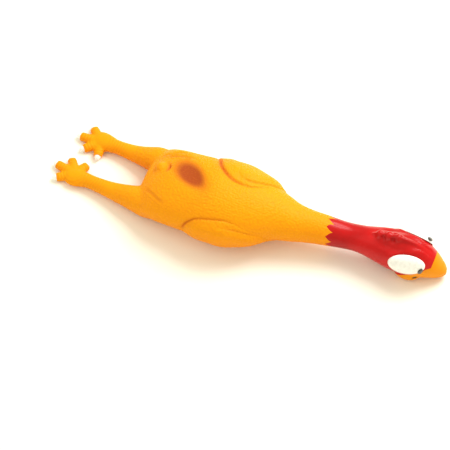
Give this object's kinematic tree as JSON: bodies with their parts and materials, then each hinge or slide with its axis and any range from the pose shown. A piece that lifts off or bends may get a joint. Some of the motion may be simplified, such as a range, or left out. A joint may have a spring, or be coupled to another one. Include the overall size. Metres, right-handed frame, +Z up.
{
  "type": "rubber chicken",
  "caption": "Hollow latex rubber chicken lying on its belly, long neck and legs that bend, a back that squeezes in, and a reed squeaker in the belly",
  "frame": {"origin": "middle of the squeaker's outer face, on the table, with the chicken lying on its belly", "axes": "+X along the back towards the beak, +Y to the chicken's left, +Z up"},
  "size_m": [0.4422, 0.1034, 0.0681],
  "materials": {
    "yellow_latex": "matt latex, yellow",
    "red_paint": "glossy red paint on latex",
    "orange_paint": "glossy orange-yellow latex",
    "white_paint": "glossy white paint on latex",
    "black_paint": "glossy black paint on latex",
    "clear_plastic": "milky moulded plastic",
    "brass_sheet": "thin rolled sheet"
  },
  "bodies": {
    "torso": {"torso_skin": "yellow_latex", "left_wing": "yellow_latex", "right_wing": "yellow_latex", "tail_nub": "yellow_latex", "back_soft_band": "yellow_latex", "neck_root_bend": "yellow_latex", "left_hip_bend": "yellow_latex", "right_hip_bend": "yellow_latex", "squeaker_body": "clear_plastic", "reed_base": "clear_plastic", "reed_clamp": "clear_plastic"},
    "back": {"back_skin": "yellow_latex"},
    "neck_lower": {"lower_neck": "yellow_latex", "mid_neck_bend": "yellow_latex"},
    "neck_upper": {"upper_neck": "red_paint", "throat_bend": "red_paint"},
    "head": {"head_skin": "red_paint", "comb": "red_paint", "left_eye": "white_paint", "right_eye": "white_paint", "left_pupil": "black_paint", "right_pupil": "black_paint", "beak": "orange_paint"},
    "reed": {"reed": "brass_sheet"},
    "left_thigh": {"left_thigh": "yellow_latex", "left_knee_bend": "yellow_latex"},
    "left_shank": {"left_shank": "yellow_latex", "left_ankle_bend": "yellow_latex"},
    "left_foot": {"left_foot": "yellow_latex", "left_claws": "white_paint"},
    "right_thigh": {"right_thigh": "yellow_latex", "right_knee_bend": "yellow_latex"},
    "right_shank": {"right_shank": "yellow_latex", "right_ankle_bend": "yellow_latex"},
    "right_foot": {"right_foot": "yellow_latex", "right_claws": "white_paint"}
  },
  "joints": [
    {"name": "back_press", "type": "slide", "parent": "torso", "child": "back", "axis": [0, 0, -1], "range_m": [0, 0.02], "stiffness_N_per_m": 700, "deforming": ["back_soft_band"]},
    {"name": "neck_lift", "type": "hinge", "parent": "torso", "child": "neck_lower", "pos_m": [0.08899, 0.00883, 0.0303], "axis": [0.0741, -0.9973, 0], "range_deg": [-40, 40], "stiffness_Nm_per_rad": 0.6, "deforming": ["neck_root_bend"]},
    {"name": "neck_swing", "type": "hinge", "parent": "neck_lower", "child": "neck_upper", "pos_m": [0.12366, 0.01368, 0.0285], "axis": [0, 0, 1], "range_deg": [-40, 40], "stiffness_Nm_per_rad": 0.4, "deforming": ["mid_neck_bend"]},
    {"name": "head_nod", "type": "hinge", "parent": "neck_upper", "child": "head", "pos_m": [0.15731, 0.01856, 0.027], "axis": [0.1132, -0.9936, 0], "range_deg": [-45, 45], "stiffness_Nm_per_rad": 0.35, "deforming": ["throat_bend"]},
    {"name": "left_hip_lift", "type": "hinge", "parent": "torso", "child": "left_thigh", "pos_m": [-0.0855, 0.03211, 0.01671], "axis": [0.0393, 0.9992, 0], "range_deg": [-35, 35], "stiffness_Nm_per_rad": 0.2, "deforming": ["left_hip_bend"]},
    {"name": "left_knee_swing", "type": "hinge", "parent": "left_thigh", "child": "left_shank", "pos_m": [-0.10595, 0.03361, 0.0125], "axis": [0, 0, -1], "range_deg": [-2, 35], "stiffness_Nm_per_rad": 0.1, "deforming": ["left_knee_bend"]},
    {"name": "left_foot_flop", "type": "hinge", "parent": "left_shank", "child": "left_foot", "pos_m": [-0.12539, 0.03514, 0.00869], "axis": [0.0393, 0.9992, 0], "range_deg": [-50, 50], "stiffness_Nm_per_rad": 0.05, "deforming": ["left_ankle_bend"]},
    {"name": "right_hip_lift", "type": "hinge", "parent": "torso", "child": "right_thigh", "pos_m": [-0.0855, -0.02186, 0.0168], "axis": [0.0523, 0.9986, 0], "range_deg": [-35, 35], "stiffness_Nm_per_rad": 0.2, "deforming": ["right_hip_bend"]},
    {"name": "right_knee_swing", "type": "hinge", "parent": "right_thigh", "child": "right_shank", "pos_m": [-0.11088, -0.01933, 0.01254], "axis": [0, 0, 1], "range_deg": [-2, 35], "stiffness_Nm_per_rad": 0.1, "deforming": ["right_knee_bend"]},
    {"name": "right_foot_flop", "type": "hinge", "parent": "right_shank", "child": "right_foot", "pos_m": [-0.13524, -0.01677, 0.00864], "axis": [0.165, 0.9863, 0], "range_deg": [-50, 50], "stiffness_Nm_per_rad": 0.05, "deforming": ["right_ankle_bend"]},
    {"name": "reed_buzz", "type": "hinge", "parent": "torso", "child": "reed", "pos_m": [0, 0, 0.0059], "axis": [-1, 0, 0], "range_deg": [-0.4, 3], "stiffness_Nm_per_rad": 0.01}
  ]
}
